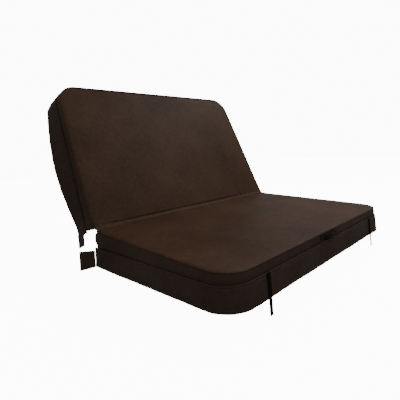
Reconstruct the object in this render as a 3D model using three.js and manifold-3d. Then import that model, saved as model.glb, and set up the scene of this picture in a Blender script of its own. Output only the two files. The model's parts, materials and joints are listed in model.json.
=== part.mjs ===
// Two-panel folding spa cover: tapered foam panels in vinyl jackets, joined by a fabric hinge.
//
// Units are millimetres, +Z is up. X runs along the fold, the flat half lies towards -Y and the
// lifting half is turned up towards +Y. The origin is the middle of the flat half's underside, the
// face that rests on the spa's rim. Each half is drawn flat, with v measured out from the fold line.
import * as THREE from 'three';
import Module from 'manifold-3d';
import { mergeVertices } from 'three/addons/utils/BufferGeometryUtils.js';

// ---------------------------------------------------------------- driving dimensions
const FOLD_LENGTH = 1778; // jacket size along the fold
const HALF_DEPTH = 1067; // from the fold line to a half's outer edge
const FOLD_THICKNESS = 108; // jacket thickness beside the fold
const EDGE_THICKNESS = 58; // jacket thickness at the outer edge
const CORNER_RADIUS = 140; // outer corners seen from above
const HALF_GAP = 20; // from the fold line to each half's hinge wall
const REST_ANGLE = 68; // how far the lifting half is turned up, in degrees

const FABRIC = 1.5; // vinyl and liner cloth
const WRAP = 0.8; // vapour film around the foam
const CHANNEL = 1.2; // steel channel wall
const CHANNEL_FLANGE = 45; // depth of the channel's two flanges over the foam
const CHANNEL_INSET = 30; // channel's ends back from the jacket's ends
const CLEAR = 0.4; // gap between pieces that lie on each other
const SEAM_GAP = 0.3; // gap between pieces that are sewn edge to edge

const PIPING = 3.2; // piping around the top panel
const LIP_STANDOFF = 9; // rolled lip's outer face, out from the boxing
const LIP_ABOVE = 5; // lip's top above the underside
const LIP_BELOW = 6; // lip's bottom below the underside
const SKIRT_DROP = 111; // skirt's lower edge below the underside
const SKIRT_OUT = 8; // skirt's outer face, out from the boxing
const SKIRT_CLOTH = 2; // doubled skirt vinyl
const SKIRT_END = 6; // skirt's end, back from the fold line
const SKIRT_FLARE = 58; // how far the lifting half's skirt springs outwards at its sides
const FLARE_START = 70; // the flare begins this far out from the fold line
const FLARE_STOP = 30; // and ends this far short of the outer edge
const SKIRT_ROWS = 5; // facets down a flared skirt
const SIDE_STEPS = 12; // facets along each side of a flared skirt

const LEAF_AXIS_CLEAR = 1.5; // from the hinge strip's top face to the fold axis
const LEAF_LAP = 30; // how far the hinge strip laps onto each top panel
const LEAF_END = 0.6; // each leaf's free edge, back from the fold line

const SEAL_REACH = 34; // hinge seal, out from the flat half's hinge wall
const SEAL_HEIGHT = 80; // hinge seal's height
const SEAL_END_INSET = 6; // hinge seal's ends back from the jacket's ends

const HANDLE_LENGTH = 210; // loop handle, end to end
const HANDLE_FLAT = 34; // each sewn end of the handle
const HANDLE_WIDTH = 32;
const HANDLE_BOW = 24; // loop's reach from the boxing
const HANDLE_STRAP = 3; // folded vinyl
const HANDLE_FULLNESS = 0.7; // power of the cosine that shapes the loop; lower is fuller
const PATCH_MARGIN = 4; // patch past the handle's width, on each side

const STRAP_WIDTH = 25; // tie-down webbing
const STRAP_CLOTH = 2;
const STRAP_LENGTH = 190;
const STRAP_INSET = 255; // strap's middle, in from the jacket's end
const STRAP_STANDOFF = 1.2; // gap from the lip to the strap

const FLAP_CLOTH = 2;
const FLAP_LAP = 18; // flap's sewn edge, back from the skirt's end
const FLAP_REACH = 92; // flap's length past its sewn edge
const FLAP_RISE = 14; // the lifting half's flaps are cut shorter at the free edge by this much
const FLAP_DIP = 16; // the flat half's flaps are cut longer at the free edge by this much
const FLAP_LIFT = 4; // flap's lower edge above the skirt's
const FLAP_LAYER = 4; // pitch of the cloth layers beside the skirt
const FLAT_FLAP_LAYER = 3; // the flat half's flaps hang in this layer
const LIFT_FLAP_LAYER = 1.5; // the lifting half's flaps hang in this one, inside them
const FLAP_FLARE = 50; // the flat half's flaps stand out by this angle at rest, in degrees

const ZIP_BAND = 60; // width of the zipped panel beside the hinge wall
const ZIP_TAPE = 26; // zipper tape's width
const ZIP_TAPE_EDGE = 16; // tape's edge, back from the hinge wall
const ZIP_END_INSET = 70; // tape's ends back from the jacket's ends
const ZIP_CLOTH = 1.6;
const SLIDER_INSET = 40; // slider's rest place, in from the tape's end
const SLIDER = { length: 13, width: 9, height: 3.4, bridge: 3.2, bar: 1.5, rib: 2 };
const PULL = { width: 9, length: 27, thick: 1.2, bar: 1.6, eye: 7.2, rim: 2 };

// Drain eyelets in the zipped panel.
const EYELET = { flange: 9, hole: 4.5, height: 1.5, bevel: 1, inset: 32 };

const CORNER_STEPS = 10; // facets in each quarter turn of a half's outline
const ROUND_STEPS = 16; // facets around an eyelet
const HANDLE_STEPS = 14; // facets along the handle's loop
const SEAL_STEPS = 12; // facets across the hinge seal
const WELD = 1e-4; // points closer than this are one point

// ---------------------------------------------------------------- finishes
const finish = (color, roughness, metalness = 0) => ({ color, roughness, metalness });
const VINYL = finish(0x4a3529, 0.55);
const VINYL_SIDE = finish(0x30231b, 0.6);
const WEBBING = finish(0x17120f, 0.85);
const LINER = finish(0x2b2b2d, 0.8);
const FOAM = finish(0xece9e2, 0.9);
const FILM = finish(0xdadada, 0.3);
const STEEL = finish(0xa9adb0, 0.4, 1);
const ZIPPER = finish(0x101011, 0.6);
const BRASS = finish(0xb08d3c, 0.35, 1);

// ---------------------------------------------------------------- shape helpers
const wasm = await Module();
wasm.setup();

const AXIS_Z = FOLD_THICKNESS + CLEAR + FABRIC + LEAF_AXIS_CLEAR;
const HALF_LENGTH = FOLD_LENGTH / 2;

// Height of a half's top face at a distance v from the fold line.
function topAt(v) {
  const slope = (FOLD_THICKNESS - EDGE_THICKNESS) / (HALF_DEPTH - HALF_GAP);
  return FOLD_THICKNESS - slope * (v - HALF_GAP);
}

// Outline of a half from above, grown by `offset`, square at the fold and rounded outside.
function halfOutline(offset, foldEdge) {
  const side = HALF_LENGTH + offset;
  const far = HALF_DEPTH + offset;
  const r = CORNER_RADIUS + offset;
  const shape = new THREE.Shape();
  shape.moveTo(-side, foldEdge);
  shape.lineTo(side, foldEdge);
  shape.absarc(side - r, far - r, r, 0, Math.PI / 2);
  shape.absarc(r - side, far - r, r, Math.PI / 2, Math.PI);
  shape.closePath();
  return shape;
}

// U-shaped outline that follows a half's three outer sides between two offsets.
function bandOutline(outer, inner, foldEdge) {
  const shape = new THREE.Shape();
  const rOut = CORNER_RADIUS + outer;
  const rIn = CORNER_RADIUS + inner;
  const cx = HALF_LENGTH - CORNER_RADIUS;
  const cy = HALF_DEPTH - CORNER_RADIUS;
  shape.moveTo(HALF_LENGTH + outer, foldEdge);
  shape.absarc(cx, cy, rOut, 0, Math.PI / 2);
  shape.absarc(-cx, cy, rOut, Math.PI / 2, Math.PI);
  shape.lineTo(-HALF_LENGTH - outer, foldEdge);
  shape.lineTo(-HALF_LENGTH - inner, foldEdge);
  shape.absarc(-cx, cy, rIn, Math.PI, Math.PI / 2, true);
  shape.absarc(cx, cy, rIn, Math.PI / 2, 0, true);
  shape.lineTo(HALF_LENGTH + inner, foldEdge);
  shape.closePath();
  return shape;
}

// Solid between two heights, each a function of the distance from the fold line.
function slab(outline, bottomAt, heightAt) {
  const settings = { depth: 1, bevelEnabled: false, curveSegments: CORNER_STEPS };
  const geometry = new THREE.ExtrudeGeometry(outline, settings);
  const p = geometry.attributes.position;
  for (let i = 0; i < p.count; i += 1) {
    const v = p.getY(i);
    p.setZ(i, THREE.MathUtils.lerp(bottomAt(v), heightAt(v), p.getZ(i)));
  }
  return geometry;
}

const level = (z) => () => z;

function box(x0, x1, v0, v1, z0, z1) {
  const geometry = new THREE.BoxGeometry(x1 - x0, v1 - v0, z1 - z0);
  return geometry.translate((x0 + x1) / 2, (v0 + v1) / 2, (z0 + z1) / 2);
}

function polygon(points) {
  return new THREE.Shape(points.map(([a, b]) => new THREE.Vector2(a, b)));
}

// Section drawn in the (v, z) plane and extruded along X between x0 and x1.
function alongFold(section, x0, x1) {
  const geometry = new THREE.ExtrudeGeometry(section, { depth: x1 - x0, bevelEnabled: false });
  const basis = new THREE.Matrix4().makeBasis(
    new THREE.Vector3(0, 1, 0), new THREE.Vector3(0, 0, 1), new THREE.Vector3(1, 0, 0));
  return geometry.applyMatrix4(basis).translate(x0, 0, 0);
}

function toSolid(geometry) {
  const bare = geometry.clone();
  bare.deleteAttribute('normal');
  bare.deleteAttribute('uv');
  const merged = mergeVertices(bare, WELD);
  return new wasm.Manifold(new wasm.Mesh({
    numProp: 3,
    vertProperties: new Float32Array(merged.attributes.position.array),
    triVerts: new Uint32Array(merged.index.array),
  }));
}

function toGeometry(solid) {
  const mesh = solid.getMesh();
  const geometry = new THREE.BufferGeometry();
  geometry.setAttribute('position', new THREE.BufferAttribute(mesh.vertProperties, 3));
  geometry.setIndex(new THREE.BufferAttribute(mesh.triVerts, 1));
  geometry.computeVertexNormals();
  return geometry;
}

function addPiece(group, name, geometry, look) {
  const mesh = new THREE.Mesh(geometry, new THREE.MeshStandardMaterial(look));
  mesh.name = name;
  group.add(mesh);
  return mesh;
}

// ---------------------------------------------------------------- inside of a half
function foamCore() {
  const inset = FABRIC + CLEAR + WRAP + CLEAR + CHANNEL + CLEAR;
  const outline = halfOutline(-inset, HALF_GAP + inset);
  return slab(outline, level(inset), (v) => topAt(v) - inset);
}

function vapourWrap() {
  const out = FABRIC + CLEAR;
  const inn = out + WRAP;
  const outer = slab(halfOutline(-out, HALF_GAP + out), level(out), (v) => topAt(v) - out);
  const inner = slab(halfOutline(-inn, HALF_GAP - inn), level(inn), (v) => topAt(v) - inn);
  return toGeometry(toSolid(outer).subtract(toSolid(inner)));
}

function steelChannel() {
  const out = FABRIC + CLEAR + WRAP + CLEAR;
  const inn = out + CHANNEL;
  const web = HALF_GAP + out;
  const end = web + CHANNEL_FLANGE;
  const section = polygon([
    [web, out], [end, out], [end, inn], [web + CHANNEL, inn],
    [web + CHANNEL, topAt(web + CHANNEL) - inn], [end, topAt(end) - inn],
    [end, topAt(end) - out], [web, topAt(web) - out],
  ]);
  const half = HALF_LENGTH - CHANNEL_INSET;
  return alongFold(section, -half, half);
}

// ---------------------------------------------------------------- jacket
function topPanel() {
  return slab(halfOutline(0, HALF_GAP), (v) => topAt(v) - FABRIC, topAt);
}

function boxing() {
  const under = FABRIC + SEAM_GAP;
  return slab(bandOutline(0, -FABRIC, HALF_GAP), level(0), (v) => topAt(v) - under);
}

function piping() {
  const outline = bandOutline(PIPING + SEAM_GAP, SEAM_GAP, HALF_GAP);
  return slab(outline, (v) => topAt(v) - PIPING, topAt);
}

function hingeWall() {
  const half = HALF_LENGTH - FABRIC - SEAM_GAP;
  const high = topAt(HALF_GAP + FABRIC) - FABRIC - SEAM_GAP;
  return box(-half, half, HALF_GAP, HALF_GAP + FABRIC, FABRIC + SEAM_GAP, high);
}

function underside() {
  return slab(halfOutline(-FABRIC - SEAM_GAP, HALF_GAP + ZIP_BAND), level(0), level(FABRIC));
}

function eyeletPlaces() {
  const x = HALF_LENGTH - EYELET.inset;
  return [[-x, HALF_GAP + ZIP_BAND / 2], [x, HALF_GAP + ZIP_BAND / 2]];
}

function zipPanel() {
  const half = HALF_LENGTH - FABRIC - SEAM_GAP;
  let solid = toSolid(box(-half, half, HALF_GAP, HALF_GAP + ZIP_BAND - SEAM_GAP, 0, FABRIC));
  for (const [x, v] of eyeletPlaces()) {
    const drill = new THREE.CylinderGeometry(EYELET.hole, EYELET.hole, ZIP_BAND, ROUND_STEPS);
    drill.rotateX(Math.PI / 2).translate(x, v, 0);
    solid = solid.subtract(toSolid(drill));
  }
  return toGeometry(solid);
}

function eyelet(x, v) {
  const profile = [
    [EYELET.hole, 0], [EYELET.flange, 0], [EYELET.flange - EYELET.bevel, EYELET.height],
    [EYELET.hole, EYELET.height], [EYELET.hole, 0],
  ].map(([r, h]) => new THREE.Vector2(r, h));
  const geometry = new THREE.LatheGeometry(profile, ROUND_STEPS);
  return geometry.rotateX(-Math.PI / 2).translate(x, v, -SEAM_GAP);
}

function hingeLeaf() {
  const low = FOLD_THICKNESS + CLEAR;
  const lap = HALF_GAP + LEAF_LAP;
  const section = polygon([
    [LEAF_END, low], [HALF_GAP, low], [lap, topAt(lap) + CLEAR],
    [lap, topAt(lap) + CLEAR + FABRIC], [HALF_GAP, low + FABRIC], [LEAF_END, low + FABRIC],
  ]);
  return alongFold(section, -HALF_LENGTH, HALF_LENGTH);
}

// ---------------------------------------------------------------- skirt, straps and flaps
function rolledLip() {
  return slab(bandOutline(LIP_STANDOFF, SEAM_GAP, SKIRT_END), level(-LIP_BELOW), level(LIP_ABOVE));
}

function hangingSkirt() {
  const outline = bandOutline(SKIRT_OUT, SKIRT_OUT - SKIRT_CLOTH, SKIRT_END);
  return slab(outline, level(-SKIRT_DROP), level(-LIP_BELOW - SEAM_GAP));
}

// How far the flared skirt stands out at a place beside the half, v from the fold and z high.
function flareAt(v, z) {
  const share = (v - FLARE_START) / (HALF_DEPTH - FLARE_STOP - FLARE_START);
  const low = (-LIP_BELOW - z) / (SKIRT_DROP - LIP_BELOW);
  return SKIRT_FLARE * Math.sin(Math.PI * THREE.MathUtils.clamp(share, 0, 1)) * Math.max(low, 0);
}

// Places round a half's three outer sides, from one end of the fold to the other.
function sidePlaces(offset) {
  const r = CORNER_RADIUS + offset;
  const cx = HALF_LENGTH - CORNER_RADIUS;
  const cy = HALF_DEPTH - CORNER_RADIUS;
  const places = [];
  for (let i = 0; i < SIDE_STEPS; i += 1) {
    places.push([HALF_LENGTH + offset, THREE.MathUtils.lerp(SKIRT_END, cy, i / SIDE_STEPS)]);
  }
  for (let i = 0; i <= CORNER_STEPS; i += 1) {
    const turn = (Math.PI / 2) * (i / CORNER_STEPS);
    places.push([cx + r * Math.cos(turn), cy + r * Math.sin(turn)]);
  }
  const mirrored = places.map(([x, v]) => [-x, v]).reverse();
  return [...places, ...mirrored];
}

// A closed band of cloth with an outer and an inner skin, springing outwards at its two sides.
function flaredSkirt() {
  const skins = [SKIRT_OUT, SKIRT_OUT - SKIRT_CLOTH].map(sidePlaces);
  const count = skins[0].length;
  const points = [];
  for (let row = 0; row <= SKIRT_ROWS; row += 1) {
    const z = THREE.MathUtils.lerp(-SKIRT_DROP, -LIP_BELOW - SEAM_GAP, row / SKIRT_ROWS);
    for (const [x, v] of skins.flat()) points.push(x + Math.sign(x) * flareAt(v, z), v, z);
  }
  const at = (row, skin, i) => (row * skins.length + skin) * count + i;
  const index = [];
  const quad = (a, b, c, d) => index.push(a, b, c, a, c, d);
  for (let i = 0; i + 1 < count; i += 1) {
    quad(at(0, 0, i), at(0, 1, i), at(0, 1, i + 1), at(0, 0, i + 1));
    const top = SKIRT_ROWS;
    quad(at(top, 0, i), at(top, 0, i + 1), at(top, 1, i + 1), at(top, 1, i));
    for (let row = 0; row < top; row += 1) {
      quad(at(row, 0, i), at(row, 0, i + 1), at(row + 1, 0, i + 1), at(row + 1, 0, i));
      quad(at(row, 1, i), at(row + 1, 1, i), at(row + 1, 1, i + 1), at(row, 1, i + 1));
    }
  }
  const last = count - 1;
  for (let row = 0; row < SKIRT_ROWS; row += 1) {
    quad(at(row, 0, 0), at(row + 1, 0, 0), at(row + 1, 1, 0), at(row, 1, 0));
    quad(at(row, 0, last), at(row, 1, last), at(row + 1, 1, last), at(row + 1, 0, last));
  }
  const geometry = new THREE.BufferGeometry();
  geometry.setAttribute('position', new THREE.Float32BufferAttribute(points, 3));
  geometry.setIndex(index);
  geometry.computeVertexNormals();
  return geometry;
}

function strap(x) {
  const v = HALF_DEPTH + LIP_STANDOFF + STRAP_STANDOFF;
  const z = LIP_ABOVE;
  const half = STRAP_WIDTH / 2;
  return box(x - half, x + half, v, v + STRAP_CLOTH, z - STRAP_LENGTH, z);
}

// End flap: sewn along the skirt's end and hanging past it. `drop` is the free edge's fall.
function flapSection(drop, rise) {
  const sewn = SKIRT_END + FLAP_LAP;
  const top = -LIP_BELOW - SEAM_GAP;
  const bottom = FLAP_LIFT - SKIRT_DROP;
  const free = sewn - Math.sqrt(FLAP_REACH ** 2 - drop ** 2);
  return polygon([
    [sewn, top], [free, top - drop], [free, bottom - drop + rise], [sewn, bottom],
  ]);
}

// ---------------------------------------------------------------- handle
function handleOffset(x) {
  const reach = HANDLE_LENGTH / 2 - HANDLE_FLAT;
  if (Math.abs(x) >= reach) return 0;
  return (HANDLE_BOW - HANDLE_STRAP) * Math.cos((Math.PI * x) / (2 * reach)) ** HANDLE_FULLNESS;
}

function handle() {
  const half = HANDLE_LENGTH / 2;
  const reach = half - HANDLE_FLAT;
  const xs = [-half];
  for (let i = 0; i <= HANDLE_STEPS; i += 1) {
    xs.push(-reach * Math.cos((Math.PI * i) / HANDLE_STEPS));
  }
  xs.push(half);
  const back = HALF_DEPTH + SEAM_GAP;
  const inner = xs.map((x) => [x, back + handleOffset(x)]);
  const outer = xs.map((x) => [x, back + handleOffset(x) + HANDLE_STRAP]).reverse();
  const middle = handleHeight();
  const low = middle - HANDLE_WIDTH / 2;
  return slab(polygon([...inner, ...outer]), level(low), level(low + HANDLE_WIDTH));
}

function handleHeight() {
  return (LIP_ABOVE + EDGE_THICKNESS - PIPING) / 2;
}

function handlePatch(side) {
  const inner = HANDLE_LENGTH / 2 - HANDLE_FLAT + PATCH_MARGIN;
  const outer = HANDLE_LENGTH / 2 - PATCH_MARGIN / 2;
  const v = HALF_DEPTH + SEAM_GAP + HANDLE_STRAP + SEAM_GAP;
  const middle = handleHeight();
  const half = HANDLE_WIDTH / 2 - PATCH_MARGIN / 2;
  const [x0, x1] = side > 0 ? [inner, outer] : [-outer, -inner];
  return box(x0, x1, v, v + FABRIC, middle - half, middle + half);
}

// ---------------------------------------------------------------- zipper
const ZIP_MIDDLE = HALF_GAP + ZIP_TAPE_EDGE + ZIP_TAPE / 2;
const ZIP_FACE = -SEAM_GAP - ZIP_CLOTH;
const SLIDER_TOP = ZIP_FACE - SEAM_GAP;
const SLIDER_X = HALF_LENGTH - ZIP_END_INSET - SLIDER_INSET;
const PULL_AXIS_Z = SLIDER_TOP - SLIDER.height - SLIDER.bridge / 2;

function zipTape() {
  const half = HALF_LENGTH - ZIP_END_INSET;
  const v0 = HALF_GAP + ZIP_TAPE_EDGE;
  return box(-half, half, v0, v0 + ZIP_TAPE, ZIP_FACE, -SEAM_GAP);
}

function slider() {
  const { length, width, height, bridge, bar, rib } = SLIDER;
  const base = SLIDER_TOP - height;
  const body = box(-length / 2, length / 2, -width / 2, width / 2, base, SLIDER_TOP);
  const drop = bridge + bar;
  const arch = box(-length / 2, length / 2, -rib / 2, rib / 2, base - drop, base + rib / 2);
  const room = box(-length / 2 + bar, length / 2 - bar, -rib, rib, base - bridge, base);
  const solid = toSolid(body).add(toSolid(arch).subtract(toSolid(room)));
  return toGeometry(solid).translate(SLIDER_X, ZIP_MIDDLE, 0);
}

function pullTab() {
  const { width, length, thick, bar, eye, rim } = PULL;
  const top = PULL_AXIS_Z + bar / 2;
  const half = width / 2;
  const section = polygon([[-half, top], [-half, top - length], [half, top - length], [half, top]]);
  const hole = new THREE.Path([
    new THREE.Vector2(-half + rim, top - bar), new THREE.Vector2(half - rim, top - bar),
    new THREE.Vector2(half - rim, top - bar - eye), new THREE.Vector2(-half + rim, top - bar - eye),
  ]);
  section.holes.push(hole);
  const geometry = alongFold(section, -thick / 2, thick / 2);
  return geometry.translate(SLIDER_X, ZIP_MIDDLE, 0);
}

// ---------------------------------------------------------------- one half
// `sideName(sign)` says which end of the cover a local +X or -X end becomes.
function makeHalf(prefix, skirt, sideName) {
  const half = new THREE.Group();
  addPiece(half, `${prefix}_foam`, foamCore(), FOAM);
  addPiece(half, `${prefix}_wrap`, vapourWrap(), FILM);
  addPiece(half, `${prefix}_channel`, steelChannel(), STEEL);
  addPiece(half, `${prefix}_top`, topPanel(), VINYL);
  addPiece(half, `${prefix}_boxing`, boxing(), VINYL_SIDE);
  addPiece(half, `${prefix}_piping`, piping(), VINYL);
  addPiece(half, `${prefix}_hinge_wall`, hingeWall(), VINYL_SIDE);
  addPiece(half, `${prefix}_underside`, underside(), LINER);
  addPiece(half, `${prefix}_zip_panel`, zipPanel(), LINER);
  addPiece(half, `${prefix}_zip_tape`, zipTape(), ZIPPER);
  addPiece(half, `${prefix}_slider`, slider(), BRASS);
  addPiece(half, `${prefix}_pull`, pullTab(), BRASS);
  addPiece(half, `${prefix}_hinge_leaf`, hingeLeaf(), VINYL);
  addPiece(half, `${prefix}_lip`, rolledLip(), VINYL);
  addPiece(half, `${prefix}_skirt`, skirt, VINYL_SIDE);
  for (const sign of [-1, 1]) {
    const end = sideName(sign);
    const x = sign * (HALF_LENGTH - STRAP_INSET);
    addPiece(half, `${prefix}_strap_${end}`, strap(x), WEBBING);
    const [ex, ev] = eyeletPlaces()[sign > 0 ? 1 : 0];
    addPiece(half, `${prefix}_eyelet_${end}`, eyelet(ex, ev), BRASS);
  }
  return half;
}

// The loop handle in the middle of a half's outer edge, with a sewn patch on each of its ends.
function addHandle(half, prefix, sideName) {
  addPiece(half, `${prefix}_handle`, handle(), VINYL_SIDE);
  for (const sign of [-1, 1]) {
    addPiece(half, `${prefix}_handle_patch_${sideName(sign)}`, handlePatch(sign), VINYL_SIDE);
  }
}

// Flaps at both ends of a half: `layer` sets how far out they lie, `drop` how far they droop and
// `rise` how much shorter the free edge is cut.
function addFlaps(half, prefix, sideName, { layer, drop, rise, flare }) {
  const sewn = SKIRT_END + FLAP_LAP;
  for (const sign of [-1, 1]) {
    const inner = HALF_LENGTH + SKIRT_OUT + layer * FLAP_LAYER - FLAP_CLOTH;
    const [x0, x1] = sign > 0 ? [inner, inner + FLAP_CLOTH] : [-inner - FLAP_CLOTH, -inner];
    const geometry = alongFold(flapSection(drop, rise), x0 - sign * inner, x1 - sign * inner);
    geometry.translate(0, -sewn, 0);
    geometry.rotateZ(THREE.MathUtils.degToRad(sign * flare));
    geometry.translate(sign * inner, sewn, 0);
    addPiece(half, `${prefix}_flap_${sideName(sign)}`, geometry, VINYL_SIDE);
  }
}

// ---------------------------------------------------------------- hinge seal
function sealSection(inset) {
  const shape = new THREE.Shape();
  const root = HALF_GAP - SEAM_GAP - inset;
  const middle = FOLD_THICKNESS / 2;
  const reach = SEAL_REACH - 2 * inset;
  const half = SEAL_HEIGHT / 2 - inset;
  for (let i = 0; i <= SEAL_STEPS; i += 1) {
    const turn = (Math.PI * i) / SEAL_STEPS;
    shape[i ? 'lineTo' : 'moveTo'](root - reach * Math.sin(turn), middle + half * Math.cos(turn));
  }
  shape.closePath();
  return shape;
}

function addSeal(half) {
  const end = HALF_LENGTH - SEAL_END_INSET;
  const cover = sealSection(0);
  cover.holes.push(new THREE.Path(sealSection(FABRIC).getPoints()));
  addPiece(half, 'seal_cover', alongFold(cover, -end, end), VINYL_SIDE);
  addPiece(half, 'seal_foam', alongFold(sealSection(FABRIC + CLEAR), -end, end), FOAM);
}

// ---------------------------------------------------------------- assembly
const cover = new THREE.Group();
cover.position.y = (HALF_DEPTH + HALF_GAP + ZIP_BAND) / 2;

// The flat half is turned half round, so its local +X end is the cover's left end.
const flatSide = (sign) => (sign > 0 ? 'left' : 'right');
const flatHalf = makeHalf('flat', hangingSkirt(), flatSide);
const flatFlaps = { layer: FLAT_FLAP_LAYER, drop: 0, rise: -FLAP_DIP, flare: FLAP_FLARE };
addFlaps(flatHalf, 'flat', flatSide, flatFlaps);
addHandle(flatHalf, 'flat', flatSide);
addSeal(flatHalf);
flatHalf.rotation.z = Math.PI;
cover.add(flatHalf);

// The lifting half turns about the fold axis. Its flaps hang straight down at rest.
const liftSide = (sign) => (sign > 0 ? 'right' : 'left');
const liftHalf = makeHalf('lift', flaredSkirt(), liftSide);
const flapDrop = FLAP_REACH * Math.cos(THREE.MathUtils.degToRad(REST_ANGLE));
const liftFlaps = { layer: LIFT_FLAP_LAYER, drop: flapDrop, rise: FLAP_RISE, flare: 0 };
addFlaps(liftHalf, 'lift', liftSide, liftFlaps);
liftHalf.position.z = -AXIS_Z;
const fold = new THREE.Group();
fold.position.z = AXIS_Z;
fold.rotation.x = THREE.MathUtils.degToRad(REST_ANGLE);
fold.add(liftHalf);
cover.add(fold);

export default cover;
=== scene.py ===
# %% [markdown]
# A folding spa cover is two foam boards in sewn vinyl jackets. The CAD frame already holds every
# piece at its true size, so this script only dresses it: each jacket panel, skirt and strap is
# drawn again as cloth, in the same place, and rides on the same body. Loading the frame first
# means that no size has to be typed twice.

# %% Load the frame
import json
import math
import bpy
import numpy as np
from mathutils import Matrix, Vector


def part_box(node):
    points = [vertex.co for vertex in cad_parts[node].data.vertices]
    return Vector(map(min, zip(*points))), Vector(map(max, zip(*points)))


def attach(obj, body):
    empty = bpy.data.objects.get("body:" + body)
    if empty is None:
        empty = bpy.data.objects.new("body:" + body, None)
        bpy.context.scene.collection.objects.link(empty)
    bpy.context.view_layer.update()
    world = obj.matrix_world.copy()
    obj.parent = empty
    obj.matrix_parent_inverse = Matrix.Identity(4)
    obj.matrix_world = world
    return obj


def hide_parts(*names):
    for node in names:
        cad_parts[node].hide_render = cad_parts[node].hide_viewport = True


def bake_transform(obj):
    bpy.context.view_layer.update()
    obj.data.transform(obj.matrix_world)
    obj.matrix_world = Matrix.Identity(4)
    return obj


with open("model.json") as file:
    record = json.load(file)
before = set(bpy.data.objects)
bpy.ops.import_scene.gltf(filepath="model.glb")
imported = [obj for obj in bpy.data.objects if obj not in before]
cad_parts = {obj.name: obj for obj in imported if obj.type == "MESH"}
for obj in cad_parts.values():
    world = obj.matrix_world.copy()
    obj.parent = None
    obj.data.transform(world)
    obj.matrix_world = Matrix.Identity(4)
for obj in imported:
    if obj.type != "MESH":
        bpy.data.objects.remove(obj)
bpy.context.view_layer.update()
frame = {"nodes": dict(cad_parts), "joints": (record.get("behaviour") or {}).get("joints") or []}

# %% [markdown]
# Each half is easiest to draw lying flat, with v measured out from the fold line. The flat half is
# then turned half round, and the lifting half is turned up about the fold axis. All the sizes come
# from the boxes of the CAD nodes, so a change in the CAD changes the cloth too.

# %% Measure the frame
REST_ANGLE = math.radians(68)
FABRIC = 0.0015
top_lo, top_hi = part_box("flat_top")
lip_lo, lip_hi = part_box("flat_lip")
skirt_lo, skirt_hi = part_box("flat_skirt")
fold = next(j for j in frame["joints"] if j["name"] == "fold")
FOLD_Y, AXIS_Z = fold["pos_m"][1], fold["pos_m"][2]
HALF_LENGTH = top_hi.x
HALF_DEPTH = FOLD_Y - top_lo.y
HALF_GAP = FOLD_Y - top_hi.y
FOLD_THICK = top_hi.z
EDGE_THICK = top_lo.z + FABRIC
CORNER_RADIUS = 0.140
LIP_OUT = lip_hi.x - HALF_LENGTH
LIP_TOP, LIP_LOW = lip_hi.z, lip_lo.z
SKIRT_OUT = skirt_hi.x - HALF_LENGTH
SKIRT_LOW = skirt_lo.z
SKIRT_END = FOLD_Y - skirt_hi.y
SKIRT_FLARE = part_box("lift_skirt")[1].x - skirt_hi.x
FLARE_FROM, FLARE_TO = 0.070, HALF_DEPTH - 0.030
BODY = {"flat": "flat_half", "lift": "lifting_half"}
print(f"half {HALF_DEPTH:.3f} m deep, {FOLD_THICK:.3f} to {EDGE_THICK:.3f} m thick")


def top_at(v):
    """Height of a half's top face at a distance v from the fold line."""
    return FOLD_THICK - (FOLD_THICK - EDGE_THICK) * (v - HALF_GAP) / (HALF_DEPTH - HALF_GAP)


def place(half, points):
    """Takes points drawn on a flat-lying half to where that half is at rest."""
    p = np.asarray(points, float).reshape(-1, 3)
    x, v, z = p[:, 0], p[:, 1], p[:, 2]
    if half == "flat":
        return np.stack([-x, FOLD_Y - v, z], 1)
    c, s = math.cos(REST_ANGLE), math.sin(REST_ANGLE)
    return np.stack([x, FOLD_Y + v * c - (z - AXIS_Z) * s, AXIS_Z + v * s + (z - AXIS_Z) * c], 1)


# %% [markdown]
# The camera stands low in front of the left corner, level, with a slight roll. The floor is a plain
# pale sheet just under the hanging straps, and the light is one large soft panel above and to the
# right, weaker fills from the left and the front, and a room that is brightest overhead.

# %% Camera, floor and light
CAMERA_FROM_FOLD = Vector((-1.870, -1.931, 0.0))
CAMERA_HEIGHT = 0.561
CAMERA_YAW = math.radians(45.07)
CAMERA_ROLL = math.radians(-3.47)
LENS, SHIFT_Y = 30.2, -0.125
ROOM_LOW, ROOM_HIGH = 0.30, 0.75
SEEN_LIGHT, FLOOR_GLOW = 14.0, 12.0


def make_camera():
    camera = bpy.data.objects.new("camera", bpy.data.cameras.new("camera"))
    camera.data.lens = LENS
    camera.data.sensor_width = 36.0
    camera.data.shift_y = SHIFT_Y
    ahead = Vector((math.sin(CAMERA_YAW), math.cos(CAMERA_YAW), 0.0))
    level_right = Vector((math.cos(CAMERA_YAW), -math.sin(CAMERA_YAW), 0.0))
    up = Vector((0, 0, 1))
    right = level_right * math.cos(CAMERA_ROLL) + up * math.sin(CAMERA_ROLL)
    over = up * math.cos(CAMERA_ROLL) - level_right * math.sin(CAMERA_ROLL)
    turn = Matrix((right, over, -ahead)).transposed().to_4x4()
    spot = CAMERA_FROM_FOLD + Vector((0, FOLD_Y, CAMERA_HEIGHT))
    camera.matrix_world = Matrix.Translation(spot) @ turn
    bpy.context.collection.objects.link(camera)
    bpy.context.scene.camera = camera


def area_light(name, spot, target, size, watts):
    light = bpy.data.lights.new(name, "AREA")
    light.shape, light.size, light.energy = "DISK", size, watts
    lamp = bpy.data.objects.new(name, light)
    lamp.location = spot
    lamp.rotation_euler = (Vector(target) - Vector(spot)).to_track_quat("-Z", "Y").to_euler()
    bpy.context.collection.objects.link(lamp)


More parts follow.
